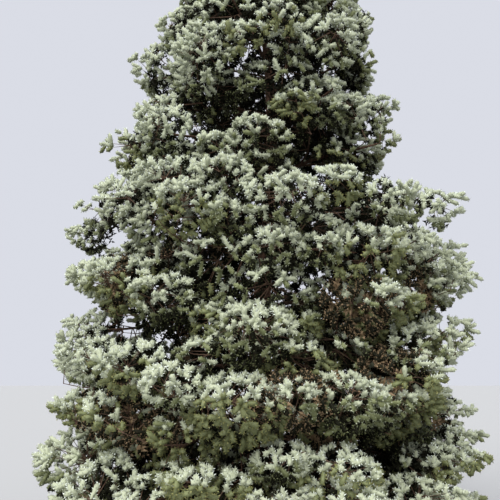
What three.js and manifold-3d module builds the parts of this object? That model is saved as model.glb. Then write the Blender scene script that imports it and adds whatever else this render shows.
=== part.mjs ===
// A blue spruce about seven metres tall, rooted in level ground.
// Millimetres, +Z up. The origin is the middle of the trunk's flat cut at ground level, and -Y is the front.
// The boughs climb round one trunk on a spiral. Each carries a mass of needles: three axes, with toothed
// sprays rooted in them. Each mass keeps to a space of its own.
import * as THREE from "three";
import Module from "manifold-3d";

const wasm = await Module();
wasm.setup();

// The tree as a whole
const treeHeight = 7000;
const crownReach = 2050; // from the trunk's axis to the furthest needles of the widest bough
const crownFullness = 2.4; // a higher power keeps the crown wide for longer before it closes to the tip

// Where the crown swells past that outline or falls short of it: a height and how far from it the swell
// fades, the direction that it faces in degrees from +X, and its share of the reach
const swells = [
  { height: 1900, fade: 520, direction: 180, share: -0.13 },
  { height: 3000, fade: 300, direction: 180, share: 0.07 },
  { height: 3950, fade: 420, direction: 0, share: -0.13 },
  { height: 4900, fade: 450, direction: 180, share: 0.2 },
  { height: 5000, fade: 400, direction: 0, share: 0.1 },
];

// The trunk
const trunkRadius = 122;
const trunkTop = 6000; // the leader's shoots stand on this cut
const trunkTopRadius = 18;
const trunkTaperPower = 0.9;
const trunkSway = 75; // sideways, over the height below
const swayHeight = 5200;
const trunkLean = 30; // front to back
const flareWidth = 78;
const flareHeight = 240;
const flareLobes = 5;
const flareLobeShare = 0.3;
const flareTurn = 0.6; // radians of the lobes' wave at +X
const trunkSides = 12;
const trunkRings = 18;
const trunkRingPower = 1.5; // a higher power sets more of the rings near the ground

// The spiral that the boughs climb on
const boughCount = 39;
const boughsInTurn = 3.25;
const firstDirection = -60; // of the lowest bough, in degrees from +X
const lowestTip = 330; // height of the lowest bough's tip
const pitch = 510; // from one turn up to the next
const pressedTurns = 0.4; // the spiral rises slowly over so much of its lowest turns
const climbAtGround = -300; // how far a bough's tip stands above its foot, for a tip at ground level
const climbPerHeight = 0.15; // and how much more for each millimetre that the tip is higher
const archShare = 0.028; // of the reach: a bough arches up near the trunk and dips before its tip lifts
const reachVaries = 0.05; // of the reach
const bendMost = 4; // degrees that a bough bends to one side between the trunk and its tip
const liftMost = 45; // how far a bough's tip is above or below the spiral

// The boughs that show bare between the trunk and the foliage
const firstBare = 3;
const lastBare = 21;
const boughRadius = 25; // at the trunk, on the longest bough
const boughSides = 5;
const boughRings = 5;
const boughCollar = 0.5; // how much thicker a bough is where it leaves the trunk, as a share
const collarLength = 0.12; // of the bough
const boughShare = 0.34; // of the reach: beyond it the foliage begins
const seat = 0.3; // clearance between pieces that touch
const boughRoom = 8; // the needles stay this far clear of a bough's sides

// The three axes of a mass
const forkShare = 0.42; // of the reach: where the side axes fork off, on a mass that a bough carries
const forkShareOnTrunk = 0.2; // the same on a mass that the trunk carries
const sideSpread = 36; // degrees that a side axis ends away from the middle one
const sideSpreadVaries = 3; // degrees
const sideReach = 0.95; // of the middle axis's reach
const sideReachVaries = 0.03;
const tierShare = 0.17; // of the pitch: one side axis ends higher, the other lower
const sideThinned = 0.6; // of the way from a bough's thickness to its tip's, where a side axis forks off
const axisSides = 3;
const axisRings = 2;
const axisTipRadius = 7;
const axisThicker = 1.15; // than the bough that it grows on from

// The sprays of needles
const spraysOnMiddle = 4;
const spraysOnSide = 3;
const firstOnMiddle = 0.15; // where an axis's first spray is rooted, as a share of the axis
const firstOnSide = 0.25;
const lastOnAxis = 0.9;
const sprayLength = 860; // the longest side spray
const sprayTipShare = 0.7; // of that length, for the spray nearest the axis's tip
const terminalSpray = 460;
const sprayWidth = 0.34; // half of the width, as a share of the length
const sprayThickness = 0.23; // half of the thickness, as a share of the length
const sprayThickest = 0.45; // of its length
const sprayTries = [1, 0.8, 0.62]; // shares of the length: where a spray doesn't fit, a shorter one is tried
const terminalTries = [...sprayTries, 0.5, 0.4]; // the same for the last spray of an axis
const rootSunk = 4; // how far a spray or an axis is rooted in what it grows on
const sprayAngle = 56; // degrees between a side spray and its axis, near the fork
const sprayAngleAtTip = 42;
const turnVaries = 7; // degrees
const sprayDroop = 14; // degrees that a hanging spray hangs
const sprayRise = 10; // degrees that a rising spray rises
const slantVaries = 12; // degrees
const terminalLift = 8; // degrees that the last spray of an axis rises
const sprayRoll = 70; // degrees that a side spray turns on its own length, towards upright
const rollVaries = 25; // degrees
const smallestScale = 0.4; // of the sprays' size, on the shortest boughs
const fullScaleReach = 1640; // a bough of this reach has sprays of full size

// A spray is a blade with a tooth on each side: shares of its length and of half its width
const sprayOutline = [
  [0, 0],
  [0.5, 1],
  [0.55, 0.6],
  [1, 0],
  [0.55, -0.6],
  [0.5, -1],
];

// The space of a mass
const spaceGap = 20; // each mass stays this far inside its space
const groundClearance = 75;
const coneFoot = 5850; // the highest boughs stay well under a cone that starts here on the trunk
const coneSlope = 0.9;

// The leader's shoots: height above the trunk's cut, number, length, and degrees from upright
const leaderHeight = treeHeight - trunkTop;
const leaderWhorls = [
  { height: 40, shoots: 5, length: 560, spread: 52 },
  { height: 330, shoots: 5, length: 420, spread: 45 },
  { height: 580, shoots: 4, length: 270, spread: 38 },
];
const leaderTopShoot = 330;

const pathStep = 0.01; // of a path's length, over which its direction is taken
const nearlyUpright = 0.05; // a direction less level than this has no level crossing of its own
const seed = 41;
const degrees = Math.PI / 180;
const up = new THREE.Vector3(0, 0, 1);

// An even share from 0 to 1 that is always the same for the same whole numbers
function chance(...keys) {
  let h = seed;
  for (const key of keys) {
    h = Math.imul(h ^ (key + 0x9e37), 0x85ebca6b);
    h ^= h >>> 13;
  }
  h = Math.imul(h ^ (h >>> 16), 0xc2b2ae35);
  return ((h ^ (h >>> 15)) >>> 0) / 2 ** 32;
}

const vary = (amount, ...keys) => amount * (2 * chance(...keys) - 1);
const mix = (a, b, share) => a + (b - a) * share;

// The crown's outline, and the trunk's middle line and radius
const outline = (height) => crownReach * (1 - (height / treeHeight) ** crownFullness);

function swell(height, direction) {
  return swells.reduce((sum, one) => {
    const facing = Math.max(0, Math.cos((direction - one.direction) * degrees));
    return sum + one.share * facing * Math.exp(-(((height - one.height) / one.fade) ** 2));
  }, 0);
}

function trunkCentre(z) {
  const x = -trunkSway * Math.sin((2 * Math.PI * z) / swayHeight);
  const y = trunkLean * Math.sin((2 * Math.PI * z) / treeHeight);
  return new THREE.Vector3(x, y, z);
}

function trunkRadiusAt(z, angle) {
  const stem = mix(trunkTopRadius, trunkRadius, (1 - z / trunkTop) ** trunkTaperPower);
  const lobes = 1 + flareLobeShare * Math.cos(flareLobes * angle + flareTurn);
  return stem + flareWidth * Math.exp(-z / flareHeight) * lobes;
}

// The spiral: directions go on counting past a full turn, so each tells its turn too
const sector = 360 / boughsInTurn;
const spiralStart = firstDirection - sector / 2;
const spiralEnd = firstDirection + (boughCount - 0.5) * sector;

function tipHeight(direction) {
  const turns = Math.max(0, (direction - firstDirection) / 360);
  return lowestTip + pitch * (turns - pressedTurns * (1 - Math.exp(-turns / pressedTurns)));
}

// The height of the spiral's surface at a distance from the trunk's middle line
function surface(direction, r) {
  const tip = tipHeight(direction);
  const climb = climbAtGround + climbPerHeight * tip;
  const out = r / outline(tip);
  const arch = archShare * outline(tip) * Math.sin(2 * Math.PI * Math.min(out, 1));
  return tip - climb * (1 - out) + arch;
}

// A point on the spiral's surface, or above it
function place(direction, r, above) {
  const a = direction * degrees;
  const middle = trunkCentre(surface(direction, r) + above);
  return middle.add(new THREE.Vector3(r * Math.cos(a), r * Math.sin(a), 0));
}

// The lowest and highest level of a space at a direction and distance: halfway to the next turns
function band(direction, r) {
  const own = surface(direction, r);
  const isLast = direction + 360 > spiralEnd;
  const isFirst = direction - 360 < spiralStart;
  const above = isLast ? coneFoot + coneSlope * r : surface(direction + 360, r);
  const top = (above + own) / 2 - spaceGap;
  const bottom = isFirst ? groundClearance : (surface(direction - 360, r) + own) / 2 + spaceGap;
  return { top, bottom };
}

function isInSpace(bough, point) {
  const { x, y } = point.clone().sub(trunkCentre(point.z));
  const r = Math.hypot(x, y);
  const turned = Math.atan2(y, x) / degrees - bough.direction;
  const aside = turned - 360 * Math.round(turned / 360);
  const { top, bottom } = band(bough.direction + aside, r);
  return Math.abs(aside) < sector / 2 - spaceGap / r / degrees && point.z < top && point.z > bottom;
}

const boughs = Array.from({ length: boughCount }, (_, index) => {
  const direction = firstDirection + index * sector;
  const tip = tipHeight(direction);
  const reach = outline(tip) * (1 + swell(tip, direction) + vary(reachVaries, index, 0));
  const isBare = index >= firstBare && index <= lastBare;
  const highSide = chance(index, 3) < 0.5 ? 1 : -1;
  const bend = vary(bendMost, index, 1);
  const lift = vary(liftMost, index, 2);
  return { index, direction, reach, isBare, highSide, bend, lift };
});

// A bough's middle line, from the trunk's to the furthest needles
function boughLine(bough, r) {
  const out = r / bough.reach;
  return place(bough.direction + bough.bend * Math.sin(Math.PI * out), r, bough.lift * out);
}

// A bough's radius at a share of its reach
function boughRadiusAt(bough, out) {
  return mix(boughRadius * Math.sqrt(bough.reach / crownReach), axisTipRadius, out);
}

function solid(points, triangles) {
  const vertProperties = new Float32Array(points.flatMap((p) => [p.x, p.y, p.z]));
  const triVerts = new Uint32Array(triangles.flat());
  return new wasm.Manifold(new wasm.Mesh({ numProp: 3, vertProperties, triVerts }));
}

// A closed tube through rings of points, each ring turning anticlockwise seen from its end
function tube(rings) {
  const sides = rings[0].length;
  const triangles = [];
  for (let r = 0; r < rings.length - 1; r++) {
    for (let i = 0; i < sides; i++) {
      const a = r * sides + i;
      const b = r * sides + ((i + 1) % sides);
      triangles.push([a, b, b + sides], [a, b + sides, a + sides]);
    }
  }
  const last = (rings.length - 1) * sides;
  for (let i = 1; i < sides - 1; i++) {
    triangles.push([0, i + 1, i], [last, last + i, last + i + 1]);
  }
  return solid(rings.flat(), triangles);
}

// A closed blade whose last two points stand above and below the rim that the others make
function blade(points) {
  const rim = points.length - 2;
  const triangles = [];
  for (let i = 0; i < rim; i++) {
    const j = (i + 1) % rim;
    triangles.push([rim, i, j], [rim + 1, j, i]);
  }
  return solid(points, triangles);
}

// A level direction square to the one given
function crossing(ahead) {
  const across = ahead.clone().cross(up);
  return across.length() > nearlyUpright ? across.normalize() : new THREE.Vector3(1, 0, 0);
}

// A path of straight stretches between points
function stretches(points) {
  const last = points.length - 1;
  return (t) => {
    const i = Math.min(last - 1, Math.floor(t * last));
    return points[i].clone().lerp(points[i + 1], t * last - i);
  };
}

function directionAt(path, t) {
  const behind = path(Math.max(0, t - pathStep));
  return path(Math.min(1, t + pathStep)).sub(behind).normalize();
}

// A tapering limb of a few sides along a path, with flat ends square to it
function limb(path, radiusAt, sides, count) {
  const rings = [];
  for (let i = 0; i <= count; i++) {
    const t = i / count;
    const ahead = directionAt(path, t);
    const across = crossing(ahead);
    const over = across.clone().cross(ahead);
    const ring = [];
    for (let k = 0; k < sides; k++) {
      const a = (2 * Math.PI * k) / sides;
      const spoke = over.clone().multiplyScalar(Math.cos(a)).addScaledVector(across, Math.sin(a));
      ring.push(path(t).addScaledVector(spoke, radiusAt(t)));
    }
    rings.push(ring);
  }
  return tube(rings);
}

function trunkSolid(margin) {
  const rings = [];
  for (let i = 0; i <= trunkRings; i++) {
    const z = trunkTop * (i / trunkRings) ** trunkRingPower;
    const ring = [];
    for (let k = 0; k < trunkSides; k++) {
      const angle = (2 * Math.PI * k) / trunkSides;
      const radius = trunkRadiusAt(z, angle) + margin;
      ring.push(trunkCentre(z).add(new THREE.Vector3(radius, 0, 0).applyAxisAngle(up, angle)));
    }
    rings.push(ring);
  }
  return tube(rings);
}

function boughSolid(bough, marginAside, marginAhead) {
  const path = (t) => boughLine(bough, t * (boughShare * bough.reach + marginAhead));
  const collar = (t) => 1 + boughCollar * Math.exp(-t / collarLength);
  const radius = (t) => boughRadiusAt(bough, boughShare * t) * collar(t) + marginAside;
  return limb(path, radius, boughSides, boughRings);
}

// The middle axis of a mass carries its bough on, and a side axis forks off on either side
function axes(bough) {
  const { index, reach } = bough;
  const start = bough.isBare ? boughShare * reach - rootSunk : 0;
  const fork = (bough.isBare ? forkShare : forkShareOnTrunk) * reach;
  const scale = mix(smallestScale, 1, Math.min(1, reach / fullScaleReach));
  const tipRoom = terminalSpray * scale;
  const middleEnd = reach - tipRoom;
  const forkDirection = bough.direction + bough.bend * Math.sin((Math.PI * fork) / reach);
  const forkLift = (bough.lift * fork) / reach;
  const pointsOn = (curve) => Array.from({ length: axisRings + 1 }, (_, i) => curve(i / axisRings));
  const middlePath = stretches(pointsOn((t) => boughLine(bough, mix(start, middleEnd, t))));
  const forkPoint = middlePath((fork - start) / (middleEnd - start));
  const sides = [-1, 1].map((side) => {
    const end = (sideReach + vary(sideReachVaries, index, 4 + side)) * reach - tipRoom;
    const spread = side * sideSpread + vary(sideSpreadVaries, index, 7 + side);
    const tier = side * bough.highSide * tierShare * pitch;
    const points = pointsOn((t) => {
      const direction = forkDirection + spread * Math.sin((Math.PI / 2) * t);
      return place(direction, mix(fork, end, t), forkLift + tier * t);
    });
    const path = stretches([forkPoint, ...points.slice(1)]);
    return { side, path, sprays: spraysOnSide, first: firstOnSide, thinned: sideThinned, scale };
  });
  const middle = { side: 0, path: middlePath, sprays: spraysOnMiddle, first: firstOnMiddle };
  return [{ ...middle, thinned: start / reach, scale }, ...sides];
}

// The root, directions and length of each spray on an axis, from the fork to the tip
function spraysOn(bough, axis) {
  const found = [];
  for (let i = 0; i <= axis.sprays; i++) {
    const isTerminal = i === axis.sprays;
    const t = isTerminal ? 1 : mix(axis.first, lastOnAxis, i / (axis.sprays - 1));
    const side = (i + axis.side) % 2 === 0 ? 1 : -1;
    const keys = [bough.index, 20 + axis.side, i];
    const isRising = Math.floor(i / 2) % 2 === (axis.side === bough.highSide ? 0 : 1);
    const slant = isRising ? -sprayRise : sprayDroop;
    const turn = isTerminal ? 0 : side * mix(sprayAngle, sprayAngleAtTip, t) + vary(turnVaries, ...keys, 1);
    const hang = isTerminal ? -terminalLift : slant + vary(slantVaries, ...keys, 2);
    const roll = isTerminal ? 0 : side * sprayRoll + vary(rollVaries, ...keys, 3);
    const level = directionAt(axis.path, t).applyAxisAngle(up, turn * degrees);
    const across = crossing(level);
    const ahead = level.applyAxisAngle(across, -hang * degrees);
    across.applyAxisAngle(ahead, roll * degrees);
    const fullLength = isTerminal ? terminalSpray : sprayLength * mix(1, sprayTipShare, t);
    const root = axis.path(t).addScaledVector(ahead, -rootSunk);
    const tries = isTerminal ? terminalTries : sprayTries;
    found.push({ root, ahead, across, length: fullLength * axis.scale, tries });
  }
  return found;
}

// A spray's corners: its outline, then a point above and below its middle
function sprayPoints({ root, ahead, across, length }) {
  const over = across.clone().cross(ahead).normalize();
  const at = (along, aside, height) =>
    root
      .clone()
      .addScaledVector(ahead, along * length)
      .addScaledVector(across, aside * sprayWidth * length)
      .addScaledVector(over, height * sprayThickness * length);
  const rim = sprayOutline.map(([along, aside]) => at(along, aside, 0));
  return [...rim, at(sprayThickest, 0, 1), at(sprayThickest, 0, -1)];
}

// A mass: its axes, with each spray that keeps to the space and touches no limb, cut clear of the limbs
function massSolid(bough, limbs) {
  const pieces = [];
  for (const axis of axes(bough)) {
    const radius = (t) => boughRadiusAt(bough, mix(axis.thinned, 1, t)) * axisThicker;
    pieces.push(limb(axis.path, radius, axisSides, axisRings));
    for (const spray of spraysOn(bough, axis)) {
      const fitting = spray.tries
        .map((share) => sprayPoints({ ...spray, length: spray.length * share }))
        .filter((points) => points.slice(1).every((point) => isInSpace(bough, point)))
        .map(blade)
        .find((made) => limbs.every((other) => made.intersect(other).isEmpty()));
      if (fitting) pieces.push(fitting);
    }
  }
  return oneBody(wasm.Manifold.union(pieces).subtract(wasm.Manifold.union(limbs)));
}

// The largest body of a solid: a spray that no axis holds is dropped
function oneBody(made) {
  return made.decompose().reduce((best, body) => (body.volume() > best.volume() ? body : best));
}

// The shoots at the top of the tree, in a frame at the trunk's upper cut
function leaderSolid() {
  const top = new THREE.Vector3(0, 0, leaderHeight - leaderTopShoot);
  const path = (t) => top.clone().multiplyScalar(t).add(new THREE.Vector3(0, 0, seat * (1 - t)));
  const radius = (t) => mix(trunkTopRadius, axisTipRadius, t);
  const pieces = [limb(path, radius, axisSides, 1)];
  const shoot = (root, direction, spread, length) => {
    const ahead = new THREE.Vector3(Math.sin(spread * degrees), 0, Math.cos(spread * degrees));
    ahead.applyAxisAngle(up, direction * degrees);
    pieces.push(blade(sprayPoints({ root, ahead, across: crossing(ahead), length })));
  };
  leaderWhorls.forEach(({ height, shoots, length, spread }, w) => {
    for (let i = 0; i < shoots; i++) {
      shoot(new THREE.Vector3(0, 0, height), (360 * (i + w / 2)) / shoots, spread, length);
    }
  });
  const sunk = new THREE.Vector3(0, 0, rootSunk);
  shoot(top.clone().sub(sunk), 0, 0, leaderTopShoot + rootSunk);
  return oneBody(wasm.Manifold.union(pieces));
}

// The scene: the trunk, a group for each bough and its mass, and the leader
const bark = new THREE.MeshStandardMaterial({ color: 0x5d4a3e, roughness: 0.95, metalness: 0 });
const limbBark = new THREE.MeshStandardMaterial({ color: 0x6a5443, roughness: 0.92, metalness: 0 });
const needles = new THREE.MeshStandardMaterial({ color: 0x7f9489, roughness: 0.75, metalness: 0 });

function meshOf(made, name, material) {
  const { vertProperties, triVerts, numProp } = made.getMesh();
  const geometry = new THREE.BufferGeometry();
  const points = new THREE.InterleavedBuffer(vertProperties, numProp);
  geometry.setAttribute("position", new THREE.InterleavedBufferAttribute(points, 3, 0));
  geometry.setIndex(new THREE.BufferAttribute(triVerts, 1));
  geometry.computeVertexNormals();
  const mesh = new THREE.Mesh(geometry, material);
  mesh.name = name;
  return mesh;
}

const sides = ["right", "back_right", "back", "back_left", "left", "front_left", "front", "front_right"];
const sideOf = (direction) => sides[(Math.round(direction / 45) + 8) % 8];

const spruce = new THREE.Group();
spruce.add(meshOf(trunkSolid(0), "trunk", bark));
const trunkRoom = trunkSolid(seat);

for (const bough of boughs) {
  const group = new THREE.Group();
  group.position.copy(trunkCentre(surface(bough.direction, 0)));
  group.rotation.z = bough.direction * degrees;
  const { x, y, z } = group.position;
  const inGroup = (made) => made.translate(-x, -y, -z).rotate(0, 0, -bough.direction);
  const label = `${bough.index + 1}_${sideOf(bough.direction)}`;
  const limbs = [trunkRoom];
  if (bough.isBare) {
    const made = boughSolid(bough, 0, 0).subtract(trunkRoom);
    group.add(meshOf(inGroup(made), `bough_${label}`, limbBark));
    limbs.push(boughSolid(bough, boughRoom, seat));
  }
  group.add(meshOf(inGroup(massSolid(bough, limbs)), `needles_${label}`, needles));
  spruce.add(group);
}

const leader = meshOf(leaderSolid(), "needles_leader", needles);
leader.position.copy(trunkCentre(trunkTop));
spruce.add(leader);

export default spruce;
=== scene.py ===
# The looks of a blue spruce about seven metres tall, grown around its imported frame.
# Metres, with +Z up and -Y the front. Every mass of needles grows by the rule of the solids, carried on to
# finer branches, twigs and shoots.
import math

import bpy
import numpy as np
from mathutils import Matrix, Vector, noise


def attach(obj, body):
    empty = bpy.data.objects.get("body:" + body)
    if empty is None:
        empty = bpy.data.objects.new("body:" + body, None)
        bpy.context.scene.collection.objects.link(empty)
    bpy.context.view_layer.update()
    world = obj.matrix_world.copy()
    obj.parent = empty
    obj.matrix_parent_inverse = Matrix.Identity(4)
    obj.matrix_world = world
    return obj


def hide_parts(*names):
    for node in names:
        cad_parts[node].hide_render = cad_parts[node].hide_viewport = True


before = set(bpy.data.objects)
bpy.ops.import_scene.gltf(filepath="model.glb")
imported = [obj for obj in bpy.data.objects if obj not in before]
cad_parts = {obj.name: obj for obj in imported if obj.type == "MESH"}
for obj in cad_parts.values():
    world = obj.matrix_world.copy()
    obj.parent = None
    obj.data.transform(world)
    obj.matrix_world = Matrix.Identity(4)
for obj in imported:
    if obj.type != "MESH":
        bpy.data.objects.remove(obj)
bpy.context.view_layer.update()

SEED = 41
UP = np.array((0.0, 0.0, 1.0))
GOLDEN_TURN = math.pi * (3 - math.sqrt(5))
TINY = 1e-9  # the least length that a vector is divided by

# The tree as a whole, as in the solids
TREE_HEIGHT = 7.0
CROWN_REACH = 2.05
CROWN_FULLNESS = 2.4
SWELLS = (  # height, fade, direction in degrees from +X, share of the reach
    (1.9, 0.52, 180, -0.13),
    (3.0, 0.3, 180, 0.07),
    (3.95, 0.42, 0, -0.13),
    (4.9, 0.45, 180, 0.2),
    (5.0, 0.4, 0, 0.1),
)

# The trunk
TRUNK_RADIUS = 0.122
TRUNK_TOP = 6.0
TRUNK_TOP_RADIUS = 0.018
TRUNK_TAPER_POWER = 0.9
TRUNK_SWAY = 0.075
SWAY_HEIGHT = 5.2
TRUNK_LEAN = 0.03
FLARE_WIDTH = 0.078
FLARE_HEIGHT = 0.24
FLARE_LOBES = 5
FLARE_LOBE_SHARE = 0.3
FLARE_TURN = 0.6  # radians of the lobes' wave at +X

# The spiral that the boughs climb on
BOUGH_COUNT = 39
SECTOR = 360 / 3.25  # degrees from one bough to the next
FIRST_DIRECTION = -60
SPIRAL_START = FIRST_DIRECTION - SECTOR / 2
SPIRAL_END = FIRST_DIRECTION + (BOUGH_COUNT - 0.5) * SECTOR
LOWEST_TIP = 0.33
PITCH = 0.51
PRESSED_TURNS = 0.4
CLIMB_AT_GROUND = -0.3
CLIMB_PER_HEIGHT = 0.15
ARCH_SHARE = 0.028
REACH_VARIES = 0.05
BEND_MOST = 4
LIFT_MOST = 0.045
FIRST_BARE = 3  # from this bough to the last bare one, the stem shows before its mass begins
LAST_BARE = 21
BOUGH_RADIUS = 0.025
BOUGH_COLLAR = 0.5
COLLAR_LENGTH = 0.12
BOUGH_SHARE = 0.34
AXIS_TIP_RADIUS = 0.007

# The three axes of a mass
FORK_SHARE = 0.42
FORK_SHARE_ON_TRUNK = 0.2
SIDE_SPREAD = 36
SIDE_SPREAD_VARIES = 3
SIDE_REACH = 0.95
SIDE_REACH_VARIES = 0.03
TIER_SHARE = 0.17
SIDE_THINNED = 0.6
HEADING_STEP = 0.01  # share of an axis over which its direction is taken

# The branches of an axis: each stands where a spray of the solids stands
BRANCHES_ON_MIDDLE = 4
BRANCHES_ON_SIDE = 3
FIRST_ON_MIDDLE = 0.15
FIRST_ON_SIDE = 0.25
LAST_ON_AXIS = 0.9
BRANCH_LENGTH = 0.86
BRANCH_TIP_SHARE = 0.7
TERMINAL_BRANCH = 0.46
BRANCH_WIDTH = 0.34  # half of the width that its twigs fill, as a share of its length
BRANCH_THICKNESS = 0.23
BRANCH_TRIES = (1, 0.8, 0.62)
TERMINAL_TRIES = (1, 0.8, 0.62, 0.5, 0.4)
BRANCH_ANGLE = 56
BRANCH_ANGLE_AT_TIP = 42
TURN_VARIES = 7
BRANCH_DROOP = 14
BRANCH_RISE = 10
SLANT_VARIES = 12
TERMINAL_LIFT = 8
BRANCH_ROLL = 70
ROLL_VARIES = 25
SMALLEST_SCALE = 0.4
FULL_SCALE_REACH = 1.64
BRANCH_OUTLINE = ((0.5, 1), (0.55, 0.6), (1, 0), (0.55, -0.6), (0.5, -1))
THICKEST = 0.45
BRANCH_LIFT = 0.1  # how far a branch's line lifts at its tip, as a share of its length
BRANCH_SAG = 0.06  # how far it sags halfway, apart from that lift

# The space of a mass
SPACE_GAP = 0.02
GROUND_CLEARANCE = 0.075
CONE_FOOT = 5.85
CONE_SLOPE = 0.9

# The leader: height above the trunk's cut, branches, length, and degrees from upright
LEADER_WHORLS = ((0.04, 5, 0.56, 52), (0.33, 5, 0.42, 45), (0.58, 4, 0.27, 38))
LEADER_TOP_SHOOT = 0.33
# Finer whorls, down inside the crown
INNER_WHORLS = ((-0.2, 6, 0.5, 58), (-0.42, 6, 0.52, 64), (-0.65, 6, 0.58, 68), (-0.88, 7, 0.68, 70))
SIDE_BRANCHLETS = ((0.3, 0.42), (0.55, 0.34), (0.78, 0.24))  # share of the way along, share of the length
SIDE_BRANCHLET_ANGLE = 48

# Finer growth that the solids leave out. Branchlets gather into hands, which stand side by side round the
# crown in three rows: an inner wall of old shoots, a row behind the gaps of the last one, and a last row that
# makes the crown's outline. Shoots cover each hand.
# For each row: share of the crown's outline at the hands' tips, their height in the mass's space, and their
# width, and the spacing of branchlets, of young shoots, or None for a row without them, and of old shoots
HAND_ROWS = (
    (0.6, 0.5, 0.85, 0.22, None, 0.085),
    (0.85, 0.0, 0.65, 0.18, 0.122, 0.085),
    (1.0, 0.5, 0.55, 0.155, 0.087, 0.1),
)
# Height and fade, direction and fade in degrees, and how far hands there stand out, or back if below zero, as
# a share of the reach
HOLLOWS = (
    (5.15, 0.17, 180, 60, -0.5),
    (5.5, 0.15, 180, 60, -0.15),
    (5.0, 0.15, -140, 35, -0.35),
    (4.78, 0.1, 180, 50, 0.22),
    (4.0, 0.2, 180, 60, -0.19),
    (3.64, 0.13, 180, 50, 0.2),
    (3.3, 0.13, 180, 60, -0.36),
    (3.02, 0.13, 180, 50, 0.32),
    (2.66, 0.11, 180, 60, -0.16),
    (2.17, 0.12, 180, 60, -0.16),
    (5.36, 0.15, 0, 36, -0.42),
    (5.12, 0.14, -24, 20, -0.3),
    (4.85, 0.2, 0, 60, -0.16),
    (4.4, 0.2, 0, 60, -0.16),
    (3.8, 0.3, 0, 60, -0.12),
    (3.42, 0.14, 0, 60, -0.3),
    (2.75, 0.15, 0, 50, -0.04),
    (2.4, 0.25, 0, 60, 0.08),
    (4.25, 0.2, -106, 18, -0.45),
    (3.86, 0.2, -95, 16, -0.45),
    (3.55, 0.2, -80, 15, -0.45),
    (2.7, 0.14, -91, 13, -0.4),
    (2.32, 0.15, -74, 12, -0.4),
    (2.02, 0.1, -111, 14, -0.3),
    (1.94, 0.1, -78, 10, -0.3),
    (1.08, 0.11, -89, 20, -0.35),
    (1.0, 0.12, -60, 12, -0.35),
)
FEWEST_HANDS = 2  # in a row of one mass
HAND_TURN_VARIES = 0.16  # as a share of a hand's width
HAND_SHRINKS = 1.5  # how much smaller a hand in a hollow is
HAND_SIZE_VARIES = 0.28
LEAST_HAND_SIZE = 0.4
HAND_DEPTH = 0.23  # half of a hand's depth, as a share of the crown's outline
MOST_HAND_DEPTH = 0.6  # the same at most, as a share of the way from the trunk's middle to the hand's tip
HAND_HEIGHT = 0.5  # half of a hand's height, as a share of its mass's space
HAND_WIDENED = 1.25  # how far hands side by side overlap
HAND_REACH_VARIES = 0.05
MOST_TIP = 2.05
FAN_STAGGER = 0.4  # how far up or down the hands of one axis keep together, as a share of the space's height
FAN_VARIES = 0.07  # how far out or back they keep together, as a share of the reach
HAND_STAGGER = 0.23  # how far up or down each hand is from the others of its axis
LOWEST_HAND = 0.28
HAND_LIFT = 10
HAND_POINTED = 2.6  # 1 makes a hand's outer end round, and more makes it pointed
HAND_BACK = -0.02  # how far round its back a hand's shoots go, as a cosine
OLD_DEPTH = (-0.5, 0.25)  # where a hand's old shoots stand, from its back, at -1, to its tip
AREA_POWER = 1.6  # the power in the usual rule for an ellipsoid's area
FEWEST_POINTS = 8
FEWEST_OLD_POINTS = 5
POINT_VARIES = 0.4
SKIN_VARIES = 0.08  # how far in or out of a hand's skin each shoot ends
PLACE_KEY = 150  # keys for chance, to which a row's number is added
GROWTH_KEY = 300
GROUPS_IN_ROW = 16  # group numbers kept for the hands of a row
LEADER_GROUP = 5000  # the leader's first group number

# Stems of a hand: one spine from what the mass has already, and branchlets
AXIS_STATIONS = np.linspace(0.1, 1, 16)  # where stems can start, as shares of the way along
BRANCH_STATIONS = np.linspace(0.12, 0.92, 11)
SPINE_STATIONS = np.linspace(0.3, 0.95, 8)
SHOOT_STATIONS = np.linspace(0.15, 1, 9)
SPINE_GOAL = 0.25  # where a spine ends, from the hand's middle, at 0, to its tip
BRANCHLET_SHARE = 0.82  # of the way from the hand's middle to its skin
LEAST_BRANCHLET = 0.08
MOST_BRANCHLET = 0.5
MOST_SPINE = 2.0
MOST_BEND = 0.2  # least cosine between a spine or branchlet and what carries it
SPINE_WOOD = 0.95  # how much of a stem is built as wood, if nothing that grows from it asks for more
BRANCH_WOOD = 0.2
LEADER_WOOD = 0.85

# Shoots
SHOOT_LENGTH = 0.095
LEAST_SHOOT = 0.06
MOST_SHOOT = 0.145
MOST_OLD_SHOOT = 0.21
SHOOT_BEND = 0.1  # least cosine between a shoot and what carries it
LOWEST_SHOOT = 0.06
LEADER_SPACING = 0.036
LEADER_SHOOTS = (0.12, 0.96)  # where the shoots of a leader's branch begin and end, as shares of its length
FEWEST_SHOOTS = 3
SHOOT_ANGLE = 52
SHOOT_ANGLE_AT_TIP = 40
SHOOT_ANGLE_VARIES = 9
SHOOT_LENGTH_VARIES = 0.2
SHOOT_LIFT = 0.2
END_SHOOT_LENGTH = 1.1 * SHOOT_LENGTH
END_SHOOT_SHARE = 0.6  # the most of its branch that the shoot at its end takes
END_SHOOT_HEADING = 0.95  # where on the branch its direction is taken
END_SHOOT_HEIGHT = 0.5

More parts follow.
